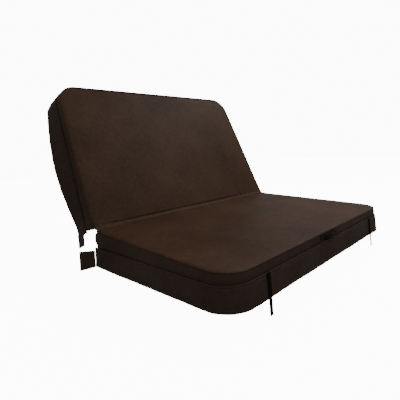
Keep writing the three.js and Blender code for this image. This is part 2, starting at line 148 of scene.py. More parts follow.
make_camera()
area_light("key", (2.6, -0.6, 3.6), (0.3, 0.1, 0), 2.6, 82)
area_light("fill", (-3.0, -3.2, 2.4), (0, 0.2, 0.2), 2.4, 26)
area_light("front", (2.5, -4.2, 2.2), (0.4, 0.8, 0.6), 2.0, 14)
world = bpy.data.worlds.new("room")
bpy.context.scene.world = world
world.use_nodes = True
add_node, link = world.node_tree.nodes.new, world.node_tree.links.new
backdrop = world.node_tree.nodes["Background"]
sky_way, sky_split = add_node("ShaderNodeTexCoord"), add_node("ShaderNodeSeparateXYZ")
sky_ramp = add_node("ShaderNodeMapRange")
link(sky_way.outputs["Generated"], sky_split.inputs["Vector"])
link(sky_split.outputs["Z"], sky_ramp.inputs["Value"])
sky_span = {"From Min": 0.0, "From Max": 1.0, "To Min": ROOM_LOW, "To Max": ROOM_HIGH}
for title, value in sky_span.items():
    sky_ramp.inputs[title].default_value = value
link(sky_ramp.outputs["Result"], backdrop.inputs["Strength"])
backdrop.inputs["Color"].default_value = (1, 1, 1, 1)
seen = add_node("ShaderNodeBackground")
seen.inputs["Strength"].default_value = SEEN_LIGHT
ray, choice = add_node("ShaderNodeLightPath"), add_node("ShaderNodeMixShader")
link(ray.outputs["Is Camera Ray"], choice.inputs["Fac"])
link(backdrop.outputs["Background"], choice.inputs[1])
link(seen.outputs["Background"], choice.inputs[2])
link(choice.outputs["Shader"], world.node_tree.nodes["World Output"].inputs["Surface"])
print("camera and lights are up")

# %% [markdown]
# A material is easier to read as sums than as a web of nodes. `Value` wraps one socket, and its
# operators add Math nodes, so `0.5 + grain * 0.1` works. `Finish` makes a material and has one
# method, `node`, for everything that isn't a sum.


# %% A small language for materials
class Value:
    def __init__(self, finish, socket):
        self.finish, self.socket = finish, socket

    def _math(self, operation, a, b):
        node = self.finish.node("ShaderNodeMath", {"operation": operation}, {0: a, 1: b})
        return Value(self.finish, node.outputs[0])

    def __add__(self, other):
        return self._math("ADD", self, other)

    def __radd__(self, other):
        return self._math("ADD", other, self)

    def __sub__(self, other):
        return self._math("SUBTRACT", self, other)

    def __rsub__(self, other):
        return self._math("SUBTRACT", other, self)

    def __mul__(self, other):
        return self._math("MULTIPLY", self, other)

    def __rmul__(self, other):
        return self._math("MULTIPLY", other, self)


class Finish:
    def __init__(self, name, color, roughness, metallic=0.0):
        self.material = bpy.data.materials.new(name)
        self.material.use_nodes = True
        self.tree = self.material.node_tree
        self.shader = self.tree.nodes["Principled BSDF"]
        self.set("Base Color", (*color, 1.0))
        self.set("Roughness", roughness)
        self.set("Metallic", metallic)

    def node(self, kind, settings=None, inputs=None):
        node = self.tree.nodes.new(kind)
        for key, value in (settings or {}).items():
            setattr(node, key, value)
        for key, value in (inputs or {}).items():
            self._feed(node.inputs[key], value)
        return node

    def _feed(self, socket, value):
        if isinstance(value, Value):
            self.tree.links.new(value.socket, socket)
        elif isinstance(value, bpy.types.NodeSocket):
            self.tree.links.new(value, socket)
        else:
            socket.default_value = value

    def set(self, name, value):
        self._feed(self.shader.inputs[name], value)

    def place(self):
        return self.node("ShaderNodeTexCoord").outputs["Object"]

    def noise(self, scale, detail=2.0, roughness=0.5):
        inputs = {"Vector": self.place(), "Scale": scale, "Detail": detail, "Roughness": roughness}
        return Value(self, self.node("ShaderNodeTexNoise", None, inputs).outputs["Fac"])

    def cells(self, scale, feature="F1"):
        inputs = {"Vector": self.place(), "Scale": scale}
        node = self.node("ShaderNodeTexVoronoi", {"feature": feature}, inputs)
        return Value(self, node.outputs["Distance"])

    def ribs(self, scale, direction):
        settings = {"wave_type": "BANDS", "bands_direction": direction}
        inputs = {"Vector": self.place(), "Scale": scale}
        return Value(self, self.node("ShaderNodeTexWave", settings, inputs).outputs["Fac"])

    def blend(self, factor, dark, light):
        node = self.node("ShaderNodeMix", {"data_type": "RGBA"}, {"Factor": factor})
        self._feed(node.inputs[6], (*dark, 1.0))
        self._feed(node.inputs[7], (*light, 1.0))
        return node.outputs[2]

    def bump(self, height, strength, distance):
        inputs = {"Height": height, "Strength": strength, "Distance": distance}
        self.set("Normal", self.node("ShaderNodeBump", None, inputs).outputs["Normal"])


# %% [markdown]
# Marine vinyl is expanded PVC on a knit back, embossed with a fine leather grain. From a few metres
# it reads as a satin brown with soft, slow mottling, and the grain only breaks up the highlight. So
# the grain is a bump of small cells with creases between them, and the mottling drives colour and
# roughness together.


# %% Finishes
GLOSS = 0.06
MOTTLE_CONTRAST = 2.8


def vinyl(name, dark, light, roughness):
    finish = Finish(name, light, roughness)
    mottle = finish.noise(2.6, 3.0) * 0.65 + finish.noise(38.0, 2.0) * 0.35
    contrast = (mottle - 0.5) * MOTTLE_CONTRAST + 0.5
    finish.set("Base Color", finish.blend(contrast, dark, light))
    grain = finish.cells(620.0) * 0.6 + finish.noise(900.0, 2.0) * 0.5
    slow = finish.noise(14.0, 2.0)
    finish.set("Roughness", roughness - 0.06 + slow * 0.12)
    finish.bump(grain + slow * 0.8, 0.35, 0.0012)
    finish.set("Specular IOR Level", GLOSS)
    return finish.material


def webbing_finish(name, color):
    finish = Finish(name, color, 0.82)
    across, along = finish.ribs(180.0, "X"), finish.ribs(150.0, "Z")
    weave = across * along
    finish.set("Base Color", finish.blend(weave, [c * 0.45 for c in color], color))
    finish.set("Specular IOR Level", GLOSS)
    finish.bump(weave, 0.8, 0.0008)
    return finish.material


def mesh_cloth(name, color):
    finish = Finish(name, color, 0.72)
    weave = finish.ribs(90.0, "X") * finish.ribs(90.0, "Y")
    tone = weave * 0.7 + finish.noise(5.0, 3.0) * 0.4
    finish.set("Base Color", finish.blend(tone, [c * 0.55 for c in color], color))
    finish.bump(weave, 0.6, 0.001)
    return finish.material


def foam_finish(name, color):
    finish = Finish(name, color, 0.9)
    beads = finish.cells(260.0)
    finish.set("Base Color", finish.blend(beads, color, [c * 0.82 for c in color]))
    finish.bump(1 - beads, 0.5, 0.001)
    return finish.material


def film_finish(name, color):
    finish = Finish(name, color, 0.25)
    crinkle = finish.noise(30.0, 4.0)
    finish.set("Roughness", 0.15 + crinkle * 0.2)
    finish.bump(crinkle, 0.5, 0.002)
    return finish.material


def metal_finish(name, color, roughness, scale):
    finish = Finish(name, color, roughness, 1.0)
    patch = finish.cells(scale)
    finish.set("Base Color", finish.blend(patch, [c * 0.7 for c in color], color))
    finish.set("Roughness", roughness - 0.08 + patch * 0.2)
    finish.bump(finish.noise(400.0, 2.0), 0.1, 0.0005)
    return finish.material


def thread_finish(name, color):
    finish = Finish(name, color, 0.6)
    twist = finish.noise(1500.0, 1.0)
    finish.set("Base Color", finish.blend(twist, [c * 0.6 for c in color], color))
    finish.bump(twist, 0.4, 0.0003)
    return finish.material


TOP_VINYL = vinyl("top_vinyl", (0.033, 0.0165, 0.0092), (0.062, 0.0330, 0.0190), 0.50)
SIDE_VINYL = vinyl("side_vinyl", (0.026, 0.0165, 0.0118), (0.046, 0.0300, 0.0205), 0.55)
# Painted shade: the handle loop and its sewn patches get a darker copy of the side vinyl, which stands
# in for the shade in and behind the loop.
HANDLE_SHADED_VINYL = vinyl("handle_vinyl", (0.0080, 0.0058, 0.0048), (0.0150, 0.0105, 0.0085), 0.50)
WEBBING = webbing_finish("webbing", (0.0065, 0.0055, 0.0050))
LINER = mesh_cloth("liner_cloth", (0.030, 0.030, 0.033))
ZIP_CLOTH = mesh_cloth("zipper_cloth", (0.008, 0.008, 0.009))
FOAM = foam_finish("foam", (0.80, 0.78, 0.74))
FILM = film_finish("vapour_film", (0.62, 0.62, 0.64))
STEEL = metal_finish("galvanised_steel", (0.42, 0.44, 0.46), 0.42, 60.0)
BRASS = metal_finish("brass", (0.45, 0.28, 0.08), 0.36, 220.0)
THREAD = thread_finish("thread", (0.034, 0.022, 0.016))
TEETH = thread_finish("zipper_teeth", (0.012, 0.012, 0.013))

DRESS = {"channel": STEEL, "slider": BRASS, "pull": BRASS, "eyelet": BRASS}
for name, thing in frame["nodes"].items():
    kind = next((k for k in DRESS if k in name), None)
    coat = DRESS[kind] if kind else SIDE_VINYL
    thing.data.materials.clear()
    thing.data.materials.append(coat)
print("finishes:", len(bpy.data.materials))

# %% [markdown]
# The floor is pale and even, so that the dark vinyl stands clear of it.

# %% Floor
floor_mesh = bpy.data.meshes.new("floor")
FLOOR_Z, FLOOR_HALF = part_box("flat_strap_left")[0].z - 0.012, 14.0
floor_mesh.from_pydata([(x * FLOOR_HALF, y * FLOOR_HALF, FLOOR_Z) for x, y in
                        ((-1, -1), (1, -1), (1, 1), (-1, 1))], [], [(0, 1, 2, 3)])
floor = bpy.data.objects.new("floor", floor_mesh)
bpy.context.collection.objects.link(floor)
pale = Finish("floor_pale", (0.86, 0.86, 0.86), 0.9)
pale.set("Base Color", pale.blend(pale.noise(1.5), (0.85, 0.85, 0.85), (0.88, 0.88, 0.88)))
pale.set("Emission Color", (1, 1, 1, 1))
pale.set("Emission Strength", FLOOR_GLOW)
floor.data.materials.append(pale.material)
floor.visible_diffuse = floor.visible_glossy = False
print("floor at", round(FLOOR_Z, 4))

# %% [markdown]
# Nearly every jacket piece is a closed section carried round the three outer sides of a half. One
# function walks those sides and gives a place and an outward direction at each step, and another
# carries a section round it. Doing this by hand, and not with a curve's bevel, lets the section
# follow the sloping top and ripple as it goes, as sewn cloth does.

# %% Walk the sides, and carry a section round them
STEP = 0.012
ARC_STEPS = 22


def walk_sides(v_start):
    """Places (x, v), outward directions and distances along a half's three outer sides."""
    r = CORNER_RADIUS
    cx, cv = HALF_LENGTH - r, HALF_DEPTH - r
    side = np.linspace(v_start, cv, max(2, int((cv - v_start) / STEP)))
    front = np.linspace(cx, -cx, int(2 * cx / STEP))
    turn = np.linspace(0, math.pi / 2, ARC_STEPS)
    rows = [(HALF_LENGTH, v, 1, 0) for v in side[:-1]]
    rows += [(cx + r * math.cos(t), cv + r * math.sin(t), math.cos(t), math.sin(t)) for t in turn]
    rows += [(x, HALF_DEPTH, 0, 1) for x in front[1:-1]]
    rows += [(-cx - r * math.sin(t), cv + r * math.cos(t), -math.sin(t), math.cos(t)) for t in turn]
    rows += [(-HALF_LENGTH, v, -1, 0) for v in side[::-1][1:]]
    path = np.array(rows)
    steps = np.linalg.norm(np.diff(path[:, :2], axis=0), axis=1)
    return path, np.concatenate([[0], np.cumsum(steps)])


def make_piece(name, verts, faces, material, smooth=True):
    mesh = bpy.data.meshes.new(name)
    mesh.from_pydata([tuple(v) for v in verts], [], faces)
    mesh.update()
    mesh.materials.append(material)
    mesh.polygons.foreach_set("use_smooth", [smooth] * len(mesh.polygons))
    piece = bpy.data.objects.new(name, mesh)
    bpy.context.collection.objects.link(piece)
    return piece


def volume(verts, faces):
    """Signed volume of a closed mesh; a negative one means that its faces point inwards."""
    v = np.asarray(verts)
    total = 0.0
    for face in faces:
        for i in range(1, len(face) - 1):
            total += np.dot(v[face[0]], np.cross(v[face[i]], v[face[i + 1]]))
    return total / 6


def closed_piece(name, verts, faces, material, smooth=True):
    if volume(verts, faces) < 0:
        faces = [tuple(reversed(face)) for face in faces]
    return make_piece(name, verts, faces, material, smooth)


def two_skins(name, outer, inner, material):
    """Closes two equal grids of points, each shaped (rows, columns, 3), into one thin solid."""
    rows, cols = outer.shape[:2]
    size = rows * cols
    faces = []
    for i in range(rows - 1):
        for j in range(cols - 1):
            a = i * cols + j
            faces.append((a, a + 1, a + cols + 1, a + cols))
            faces.append((a + size, a + size + cols, a + size + cols + 1, a + size + 1))
    rim = list(range(cols)) + [i * cols + cols - 1 for i in range(1, rows)]
    rim += [(rows - 1) * cols + j for j in range(cols - 2, -1, -1)]
    rim += [i * cols for i in range(rows - 2, 0, -1)]
    for a, b in zip(rim, rim[1:] + rim[:1]):
        faces.append((b, a, a + size, b + size))
    verts = np.concatenate([outer.reshape(-1, 3), inner.reshape(-1, 3)])
    return closed_piece(name, verts, faces, material)


def carry_section(name, half, section, v_start, material, ripple=None, flare=0.0):
    """`section` is a closed list of (offset, share of the top's height, height above that).
    `ripple` adds to the offset, and `flare` pushes the two sides outwards at their lower edge."""
    path, along = walk_sides(v_start)
    count, rows = len(path), len(section)
    offset = np.array([s[0] for s in section])[None, :]
    share = np.array([s[1] for s in section])[None, :]
    high = np.array([s[2] for s in section])[None, :]
    z = share * top_at(path[:, 1])[:, None] + high
    out = np.repeat(offset, count, 0)
    if ripple is not None:
        out = out + ripple(along[:, None], z)
    x = path[:, 0:1] + path[:, 2:3] * out
    v = path[:, 1:2] + path[:, 3:4] * out
    beside = np.abs(x) > HALF_LENGTH - CORNER_RADIUS
    x = x + np.sign(x) * beside * flare * flare_share(v, z)
    verts = place(half, np.stack([x, v, z], 2))
    faces = []
    for i in range(count - 1):
        for k in range(rows):
            a, b = i * rows + k, i * rows + (k + 1) % rows
            faces.append((a, b, b + rows, a + rows))
    faces.append(tuple(range(rows))[::-1])
    faces.append(tuple((count - 1) * rows + k for k in range(rows)))
    return closed_piece(name, verts, faces, material)


def flare_share(v, z):
    """How much of its full flare a skirt has beside the half, from 0 to 1."""
    share = np.clip((v - FLARE_FROM) / (FLARE_TO - FLARE_FROM), 0, 1)
    return np.sin(math.pi * share) * np.clip((LIP_LOW - z) / (LIP_LOW - SKIRT_LOW), 0, 1)


def waves(along, pitches, seed):
    """A sum of sines with fixed random phases, about -1 to 1."""
    rng = np.random.default_rng(seed)
    total = 0
    for pitch in pitches:
        total = total + np.sin(2 * math.pi * along / pitch + rng.uniform(0, 6.28))
    return total / len(pitches)


print("path points:", len(walk_sides(SKIRT_END)[0]))

# %% [markdown]
# The top panel is vinyl pulled over foam. It is a little crowned in the middle, falls to the seam
# over a few centimetres, and puckers slightly where the thread draws it in. A grid is drawn over
# the half, its two outer corners are bent onto quarter circles, and each point's distance from the
# seam sets how far it falls.

# %% Top panels
GRID = 0.010
SEAM_FALL, SEAM_REACH = 0.0045, 0.012
CROWN, CROWN_REACH = 0.003, 0.16
FRONT_FALL, FRONT_REACH = 0.006, 0.09
PUCKER, PUCKER_REACH, PUCKER_START = 0.0009, 0.035, 0.006
SWELL, SWELL_REACH = 0.0008, 0.05
FOLD_FALL, FOLD_REACH = 0.0008, 0.02


def corner_map(x, v):
    """Bends the grid's two square outer corners onto quarter circles."""
    r = CORNER_RADIUS
    cx, cv = HALF_LENGTH - r, HALF_DEPTH - r
    a = np.clip((np.abs(x) - cx) / r, 0, None)
    b = np.clip((v - cv) / r, 0, None)
    inside = (a > 0) & (b > 0)
    bent_a, bent_b = a * np.sqrt(1 - b * b / 2), b * np.sqrt(1 - a * a / 2)
    new_x = np.where(inside, np.sign(x) * (cx + r * bent_a), x)
    new_v = np.where(inside, cv + r * bent_b, v)
    return new_x, new_v


def seam_distance(x, v):
    r = CORNER_RADIUS
    cx, cv = HALF_LENGTH - r, HALF_DEPTH - r
    a, b = np.abs(x) - cx, v - cv
    corner = r - np.hypot(np.clip(a, 0, None), np.clip(b, 0, None))
    plain = np.minimum(HALF_LENGTH - np.abs(x), HALF_DEPTH - v)
    return np.clip(np.where((a > 0) & (b > 0), corner, plain), 0, None)


def top_height(x, v, seed):
    """Height of the finished top panel, with its crown, seams, puckers and slow swells."""
    d = seam_distance(x, v)
    front = np.clip((v - (HALF_DEPTH - FRONT_REACH)) / FRONT_REACH, 0, 1)
    fall = SEAM_FALL * np.exp(-d / SEAM_REACH) + FRONT_FALL * front ** 2.2
    crown = CROWN * (1 - np.exp(-d / CROWN_REACH))
    across = waves(x + 0.37 * v, (0.047, 0.071, 0.113), seed)
    out = waves(v - 0.21 * x, (0.052, 0.083, 0.127), seed + 1)
    edge = PUCKER * np.exp(-d / PUCKER_REACH) * (1 - np.exp(-d / PUCKER_START))
    swell_across = waves(x + 0.5 * v, (0.41, 0.66), seed + 2)
    swell_out = waves(v - 0.4 * x, (0.37, 0.58), seed + 3)
    swell = SWELL * (swell_across + swell_out)
    near_fold = FOLD_FALL * np.exp(-(v - HALF_GAP) / FOLD_REACH)
    height = top_at(v) + crown - fall + (across + out) * edge
    return height + swell * (1 - np.exp(-d / SWELL_REACH)) - near_fold


def top_panel(half, seed):
    xs = np.linspace(-HALF_LENGTH, HALF_LENGTH, int(2 * HALF_LENGTH / GRID))
    vs = np.linspace(HALF_GAP, HALF_DEPTH, int((HALF_DEPTH - HALF_GAP) / GRID))
    gx, gv = np.meshgrid(xs, vs)
    gx, gv = corner_map(gx, gv)
    gz = top_height(gx, gv, seed)
    upper = np.stack([gx, gv, gz], 2)
    skins = [place(half, skin).reshape(upper.shape) for skin in (upper, upper - [0, 0, FABRIC])]
    piece = two_skins(f"{half}_top_panel", *skins, TOP_VINYL)
    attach(piece, BODY[half])
    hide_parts(f"{half}_top")
    return piece


for half, seed in (("flat", 11), ("lift", 23)):
    panel = top_panel(half, seed)
    print(panel.name, len(panel.data.polygons), "faces")

# %% [markdown]
# The boxing is the band between the top seam and the rolled lip. Foam behind it pushes it out a
# little, and the two seams draw short puckers into it. Below it, the lip is a fold of the same
# vinyl over a cord. The skirt hangs from the lip, stands a little off the spa, waves slowly along
# its length and ends in a doubled hem. Near the fold, where the end flaps swing past, it lies flat.

# %% Boxing, piping, lip and skirt
BULGE, BOXING_BACK = 0.0035, 0.0004
TUCK = 0.0025
SEAM_PUCKER, SEAM_SHARE = 0.0011, 0.18


def boxing_piece(half, seed):
    rows = 9
    steps = np.linspace(0, 1, rows)
    low = {t: -SEAM_FALL * t - TUCK * (1 - t) for t in steps}
    outer = [(BULGE * math.sin(math.pi * t) - BOXING_BACK, t, low[t]) for t in steps]
    inner = [(-FABRIC, t, low[t]) for t in steps[::-1][::4]]

    def ripple(along, z):
        share = np.clip(z / EDGE_THICK, 0, 1)
        seam = np.exp(-share / SEAM_SHARE) + np.exp(-(1 - share) / SEAM_SHARE)
        return waves(along, (0.033, 0.054, 0.087), seed) * SEAM_PUCKER * seam

    piece = carry_section(f"{half}_boxing_band", half, outer + inner, HALF_GAP, SIDE_VINYL, ripple)
    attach(piece, BODY[half])
    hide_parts(f"{half}_boxing")


def round_section(offset, share, high, wide, tall, sides=12):
    turn = np.linspace(0, 2 * math.pi, sides, endpoint=False)
    return [(offset + wide * math.cos(t), share, high + tall * math.sin(t)) for t in turn]


PIPING_R, PIPING_OUT, PIPING_SINK = 0.0026, 0.0008, 0.0006


def piping_piece(half, seed):
    section = round_section(PIPING_OUT, 1.0, -SEAM_FALL - PIPING_SINK, PIPING_R, PIPING_R, 10)
    wobble = lambda along, z: waves(along, (0.06, 0.1), seed) * 0.0004
    piece = carry_section(f"{half}_top_piping", half, section, HALF_GAP, TOP_VINYL, wobble)
    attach(piece, BODY[half])
    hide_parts(f"{half}_piping")


def lip_piece(half, seed):
    middle = (LIP_TOP + LIP_LOW) / 2
    tall = (LIP_TOP - LIP_LOW) / 2
    section = round_section(LIP_OUT / 2 - TUCK / 2, 0.0, middle, LIP_OUT / 2 + TUCK / 2, tall, 14)
    wobble = lambda along, z: waves(along, (0.09, 0.17, 0.31), seed) * 0.0010
    piece = carry_section(f"{half}_rolled_lip", half, section, SKIRT_END, SIDE_VINYL, wobble)
    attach(piece, BODY[half])
    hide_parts(f"{half}_lip")


HEM_TALL, HEM_PROUD = 0.020, 0.0011
FLAP_ZONE = 0.090
SKIRT_TOP = LIP_LOW + 0.002
SWAY, RIPPLE, CREASE, BELLY = 0.0034, 0.0010, 0.0005, 0.0022


def skirt_piece(half, seed):
    drop = SKIRT_TOP - SKIRT_LOW
    levels = np.concatenate([np.linspace(0, drop - HEM_TALL, 11), [drop - HEM_TALL + 0.0012]])
    outer = [(SKIRT_OUT, 0.0, SKIRT_TOP - d) for d in levels]
    hem_top = SKIRT_LOW + HEM_TALL - 0.002
    hem = [(SKIRT_OUT + HEM_PROUD, 0.0, hem_top - d) for d in (0, 0.006, 0.012)]
    foot = [(SKIRT_OUT + 0.0006, 0.0, SKIRT_LOW), (SKIRT_OUT - 0.0014, 0.0, SKIRT_LOW)]
    inner = [(SKIRT_OUT - 0.0018, 0.0, SKIRT_TOP - d) for d in levels[::-1][1::2]]
    length = walk_sides(SKIRT_END)[1][-1]

    def ripple(along, z):
        low = np.clip((LIP_LOW - z) / (LIP_LOW - SKIRT_LOW), 0, 1)
        slow = waves(along, (0.52, 0.83, 1.31), seed) * SWAY * low ** 1.5
        quick = waves(along, (0.075, 0.12, 0.19), seed + 4) * RIPPLE * (0.4 + low)
        crease = waves(along + z * 0.6, (0.045, 0.071), seed + 5) * CREASE * low
        belly = BELLY * np.sin(math.pi * low)
        from_end = np.minimum(along, length - along)
        calm = np.clip((from_end - FLAP_ZONE) / FLAP_ZONE, 0, 1)
        return calm * (slow + quick + crease + belly)

    section = outer + hem + foot + inner
    flare = SKIRT_FLARE if half == "lift" else 0.0
    name = f"{half}_skirt_cloth"
    piece = carry_section(name, half, section, SKIRT_END, SIDE_VINYL, ripple, flare)
    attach(piece, BODY[half])
    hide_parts(f"{half}_skirt")
    print(piece.name, f"cut {length:.2f} x {drop:.3f} m")


for half, seed in (("flat", 31), ("lift", 47)):
    boxing_piece(half, seed)
    piping_piece(half, seed + 1)
    lip_piece(half, seed + 2)
    skirt_piece(half, seed + 3)

# %% [markdown]
# Inside the jacket, the foam board is wrapped in film against steam. Both are drawn a few
# millimetres smaller than the jacket's softened edges, so that they never show through it. The
# film is a sleeve that is open towards the fold, so its outer and inner skins meet in a rim there.

# %% Foam board and its film
# Each is an inset from the side, from the top and from the underside.
FILM_OUTSIDE, FILM_INSIDE = (0.008, 0.0135, 0.0035), (0.009, 0.0145, 0.0045)
BOARD = (0.011, 0.0165, 0.0065)
BOARD_EDGE = 0.006


def board_loop(inset, fold_edge, height):
    """An outline from one fold corner round the outer sides to the other, at a height."""
    path = walk_sides(fold_edge)[0]
    keep = path[::3] if len(path) % 3 == 1 else np.concatenate([path[::3], path[-1:]])
    x, v = keep[:, 0] - keep[:, 2] * inset, keep[:, 1] - keep[:, 3] * inset
    return np.stack([x, v, height(v)], 1)


def sleeve(name, half, insets, material):
    """Closed skins at one or two insets (side, top, bottom); two make a sleeve open at the fold."""
    verts, faces, starts = [], [], []
    for turn, (side, over, under) in enumerate(insets):
        edge = HALF_GAP + BOARD_EDGE
        upper = board_loop(side, edge, lambda v: top_at(v) - over)
        lower = board_loop(side, edge, lambda v: np.full_like(v, under))
        n, first = len(upper), len(verts)
        verts += list(place(half, upper)) + list(place(half, lower))
        top, low = [first + i for i in range(n)], [first + n + i for i in range(n)]
        skin = [tuple(top), tuple(low[::-1])]
        skin += [(low[i], low[i + 1], top[i + 1], top[i]) for i in range(n - 1)]
        faces += [face[::-1] for face in skin] if turn else skin
        starts.append((top[0], top[-1], low[-1], low[0]))
    if len(starts) == 1:
        faces.append(starts[0][::-1])
    else:
        a, b = starts
        faces += [(a[(k + 1) % 4], a[k], b[k], b[(k + 1) % 4]) for k in range(4)]
    return closed_piece(name, verts, faces, material, smooth=False)


for half in ("flat", "lift"):
    film = sleeve(f"{half}_film_sleeve", half, [FILM_OUTSIDE, FILM_INSIDE], FILM)
    core = sleeve(f"{half}_foam_board", half, [BOARD], FOAM)
    for piece, node, slot_name in ((film, "wrap", "vapour_film"), (core, "foam", "foam_core")):
        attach(piece, BODY[half])
        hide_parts(f"{half}_{node}")
print("boards made")

# %% [markdown]
# One strip of vinyl crosses the fold and holds the two jackets together. It is laid as a short
# sheet from one top panel to the other with a soft dip in the middle, and is baked where it
# lies. Two rigid leaves would split open at the fold.

# %% Hinge strip
STRIP_LAP = 0.052
STRIP_CLOTH = 0.0015
STRIP_LIFT, STRIP_DIP, STRIP_END = 0.0010, 0.006, 0.002


def strip_line():
    """The strip's middle line in the (y, z) plane, from the flat half to the lifting half."""
    def on_half(half, v, lift):
        x, y, z = place(half, [(0, v, top_at(max(v, HALF_GAP)) + lift)])[0]
        return y, z
    stops = (STRIP_LAP, 0.042, 0.032, HALF_GAP + 0.002)
    flat_side = [on_half("flat", v, STRIP_LIFT) for v in stops]
    lift_side = [on_half("lift", v, STRIP_LIFT) for v in stops[::-1]]
    a, b = np.array(flat_side[-1]), np.array(lift_side[0])
    dip = np.array((FOLD_Y - 0.001, AXIS_Z - STRIP_DIP))
    turn = np.linspace(0, 1, 11)[1:-1, None]
    middle = (1 - turn) ** 2 * a + 2 * turn * (1 - turn) * dip + turn ** 2 * b
    return np.array(flat_side + [tuple(p) for p in middle] + lift_side)


def hinge_strip():
    line = strip_line()
    tangent = np.gradient(line, axis=0)
    normal = np.stack([-tangent[:, 1], tangent[:, 0]], 1)
    normal /= np.linalg.norm(normal, axis=1)[:, None]
    xs = np.linspace(-HALF_LENGTH + STRIP_END, HALF_LENGTH - STRIP_END, 150)
    pucker = waves(xs, (0.06, 0.093, 0.15), 71) * 0.0006
    shells = []
    for side in (0.0, -1.0):
        depth = STRIP_CLOTH * side
        rows = [[(x, *(p + n * (depth + w))) for p, n in zip(line, normal)] for x, w in zip(xs, pucker)]
        shells.append(np.array(rows))
    piece = two_skins("hinge_strip", *shells, TOP_VINYL)
    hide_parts("flat_hinge_leaf", "lift_hinge_leaf")
    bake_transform(piece)


hinge_strip()

# %% [markdown]
# The underside, the walls beside the fold and the zipped panels are liner and vinyl pulled over the
# board, so each is one sheet with shallow waves. They are drawn at the CAD's faces and wave only
# into the few millimetres that the softened board leaves free.

# %% Underside, hinge walls and zipped panels
LINER_STEP = 0.022
SHALLOW = 0.0007


def liner_grid(node, step=LINER_STEP):
    """Lengths along the fold and widths out from it, over a flat half's node, as two grids."""
    lo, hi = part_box(node)
    xs = np.linspace(lo.x, hi.x, max(6, int((hi.x - lo.x) / step)))
    vs = np.linspace(FOLD_Y - hi.y, FOLD_Y - lo.y, max(6, int((hi.y - lo.y) / step)))
    return np.meshgrid(xs, vs)


def liner_sheet(half, kind, grids, material):
    """`grids` holds the outer and inner skins, each a list of the x, v and z of its points."""
    skins = [np.stack(g, 2) for g in grids]
    piece = two_skins(f"{half}_{kind}", *[place(half, s).reshape(s.shape) for s in skins], material)
    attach(piece, BODY[half])
    return piece


def underside_sheet(half, seed):
    x, v = liner_grid("flat_underside")
    x, v = corner_map(x * (1 - 0.0004), v)
    z = SHALLOW * (1 + waves(x + 0.4 * v, (0.21, 0.34, 0.55), seed)) / 2
    z = z + SHALLOW * (1 + waves(v - 0.3 * x, (0.18, 0.29, 0.47), seed + 1)) / 2
    grids = ((x, v, z), (x, v, z + FABRIC))
    piece = liner_sheet(half, "underside_liner", grids, LINER)
    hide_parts(f"{half}_underside")


def hinge_wall_sheet(half, seed):
    lo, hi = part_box("flat_hinge_wall")
    xs = np.linspace(lo.x, hi.x, 140)
    zs = np.linspace(lo.z, hi.z, 12)
    x, z = np.meshgrid(xs, zs)
    v = HALF_GAP + 2 * SHALLOW * (1 + waves(x + 0.2 * z, (0.07, 0.12, 0.26), seed)) / 2
    grids = ((x, v, z), (x, v + FABRIC, z))
    piece = liner_sheet(half, "hinge_wall_sheet", grids, SIDE_VINYL)
    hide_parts(f"{half}_hinge_wall")


def zip_panel_sheet(half, seed):
    x, v = liner_grid("flat_zip_panel", 0.012)
    z = SHALLOW * (1 + waves(x + 0.4 * v, (0.09, 0.16, 0.31), seed)) / 2
    grids = ((x, v, z), (x, v, z + FABRIC))
    piece = liner_sheet(half, "zipped_panel", grids, LINER)
    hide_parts(f"{half}_zip_panel")


def zip_tape_sheet(half, seed):
    x, v = liner_grid("flat_zip_tape", 0.012)
    lo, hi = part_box("flat_zip_tape")
    z = lo.z + 0.0002 * (1 + waves(x, (0.04, 0.07, 0.13), seed)) / 2
    grids = ((x, v, z), (x, v, z + hi.z - lo.z - 0.0003))
    piece = liner_sheet(half, "zipper_band", grids, ZIP_CLOTH)
    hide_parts(f"{half}_zip_tape")


for half, seed in (("flat", 91), ("lift", 97)):
    zip_tape_sheet(half, seed + 6)
    underside_sheet(half, seed)
    hinge_wall_sheet(half, seed + 2)
    zip_panel_sheet(half, seed + 4)
print("liner made")

# %% [markdown]
# The seal is a roll of foam in a vinyl cover, sewn to the flat half's wall. It fills the gap under
# the fold when the cover is closed. A plain D-shaped sweep is enough, with its skin pulled in at
# intervals where it is tacked to the wall.

# %% Hinge seal
def seal_piece():
    lo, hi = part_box("seal_cover")
    xs = np.linspace(lo.x, hi.x, 170)
    turn = np.linspace(0, math.pi, 17)
    middle, tall, reach = (lo.z + hi.z) / 2, (hi.z - lo.z) / 2, hi.y - lo.y
    tack = 1 - 0.10 * np.exp(-((xs * 1000 % 220 - 110) / 26) ** 2)
    slack = tack + waves(xs, (0.05, 0.13), 83) * 0.012
    verts, faces = [], []
    for x, k in zip(xs, slack):
        verts += [(x, lo.y + reach * k * math.sin(t), middle + tall * k * math.cos(t)) for t in turn]
    n = len(turn)
    for i in range(len(xs) - 1):
        for j in range(n):
            a, b = i * n + j, i * n + (j + 1) % n
            faces.append((a, b, b + n, a + n))
    faces += [tuple(range(n))[::-1], tuple((len(xs) - 1) * n + j for j in range(n))]
    piece = closed_piece("seal_roll", verts, faces, SIDE_VINYL)
    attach(piece, "flat_half")
    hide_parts("seal_cover", "seal_foam")


seal_piece()
print("seal made")

# %% [markdown]
# Straps, flaps and the handle are short flat pieces. Each is a ribbon: a line through the air, a width
# and a thickness, with rounded edges. The straps hang beside the skirt with a slight curl at their
# cut ends, and the handle is a thick folded loop.


